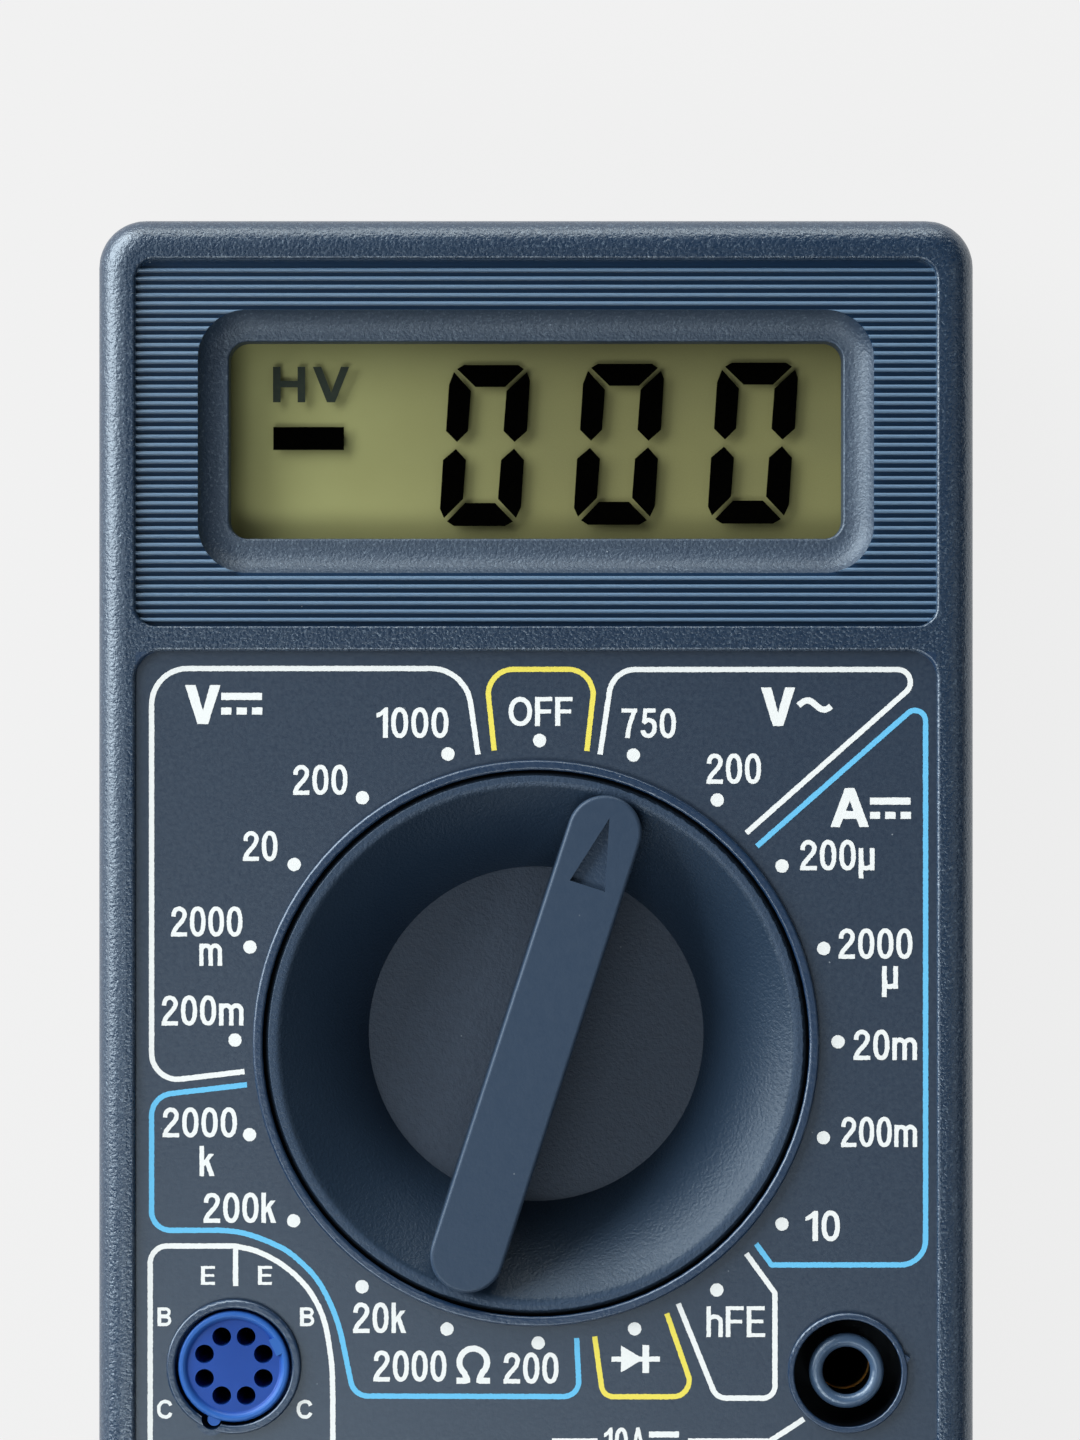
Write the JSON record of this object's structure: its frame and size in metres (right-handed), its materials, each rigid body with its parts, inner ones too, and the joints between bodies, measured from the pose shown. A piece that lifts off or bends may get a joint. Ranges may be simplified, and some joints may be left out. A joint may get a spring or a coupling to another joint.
{
  "type": "pocket digital multimeter",
  "caption": "Flat two-shell pocket multimeter with a ribbed display surround, a dished rotary range selector with a grip bar, shrouded 4 mm input sockets and a round transistor socket.",
  "frame": {"origin": "on the back face, under the middle of the case", "axes": "+Z out of the front panel, +Y along the case towards the display, +X to the right seen from the front"},
  "size_m": [0.07, 0.126, 0.0279],
  "materials": {
    "case_plastic": "fine spark-eroded grain, slate blue",
    "knob_plastic": "satin slate blue, a little glossier than the case",
    "socket_plastic": "satin bright blue",
    "display_glass": "reflective olive display behind clear glass",
    "clear_glass": "clear glass tube",
    "brass_socket": "turned brass, lightly dulled",
    "gold_copper": "plated copper alloy",
    "plated_steel": "bright zinc plate",
    "tinned_sheet": "thin bright metal sheet",
    "board_laminate": "green solder mask",
    "white_plastic": "plain white moulding",
    "black_plastic": "black encapsulation",
    "soft_rubber": "matt black",
    "lead_red": "red lead insulation",
    "battery_jacket": "plain dark jacket, bare of print",
    "resistor_body": "beige lacquer",
    "capacitor_body": "brown dipped coat"
  },
  "bodies": {
    "case": {"front_case": "case_plastic", "rear_case": "case_plastic", "case_screws": "plated_steel", "circuit_board": "board_laminate", "switch_tracks": "gold_copper", "board_screws": "plated_steel", "lcd_panel": "display_glass", "lcd_bracket": "white_plastic", "zebra_strips": "soft_rubber", "input_jack_current": "brass_socket", "input_jack_volts": "brass_socket", "input_jack_common": "brass_socket", "transistor_socket": "socket_plastic", "transistor_contacts": "brass_socket", "battery": "battery_jacket", "battery_terminals": "plated_steel", "battery_snap": "soft_rubber", "snap_contacts": "plated_steel", "battery_lead_red": "lead_red", "battery_lead_black": "soft_rubber", "fuse_glass": "clear_glass", "fuse_caps": "plated_steel", "fuse_clips": "gold_copper", "shunt_wire": "gold_copper", "trimmer_body": "socket_plastic", "resistors": "resistor_body", "capacitors": "capacitor_body", "diodes": "black_plastic", "converter_chip": "black_plastic", "shield_sheet": "tinned_sheet"},
    "selector": {"selector_knob": "knob_plastic", "wiper_contacts": "gold_copper", "detent_spring_upper": "plated_steel", "detent_spring_lower": "plated_steel"},
    "ball_upper": {"detent_ball_upper": "plated_steel"},
    "ball_lower": {"detent_ball_lower": "plated_steel"},
    "trimmer": {"trimmer_rotor": "white_plastic"}
  },
  "joints": [
    {"name": "selector_turn", "type": "hinge", "parent": "case", "child": "selector", "pos_m": [0, -0.0027, 0.022], "axis": [0, 0, 1], "continuous": true},
    {"name": "ball_upper_press", "type": "slide", "parent": "selector", "child": "ball_upper", "axis": [0, 0, 1], "range_m": [-0.0004, 0], "stiffness_N_per_m": 60, "deforming": ["detent_spring_upper"]},
    {"name": "ball_lower_press", "type": "slide", "parent": "selector", "child": "ball_lower", "axis": [0, 0, 1], "range_m": [-0.0004, 0], "stiffness_N_per_m": 60, "deforming": ["detent_spring_lower"]},
    {"name": "trimmer_turn", "type": "hinge", "parent": "case", "child": "trimmer", "pos_m": [-0.02, 0.014, 0.0105], "axis": [0, 0, 1], "range_deg": [-105, 105]}
  ]
}
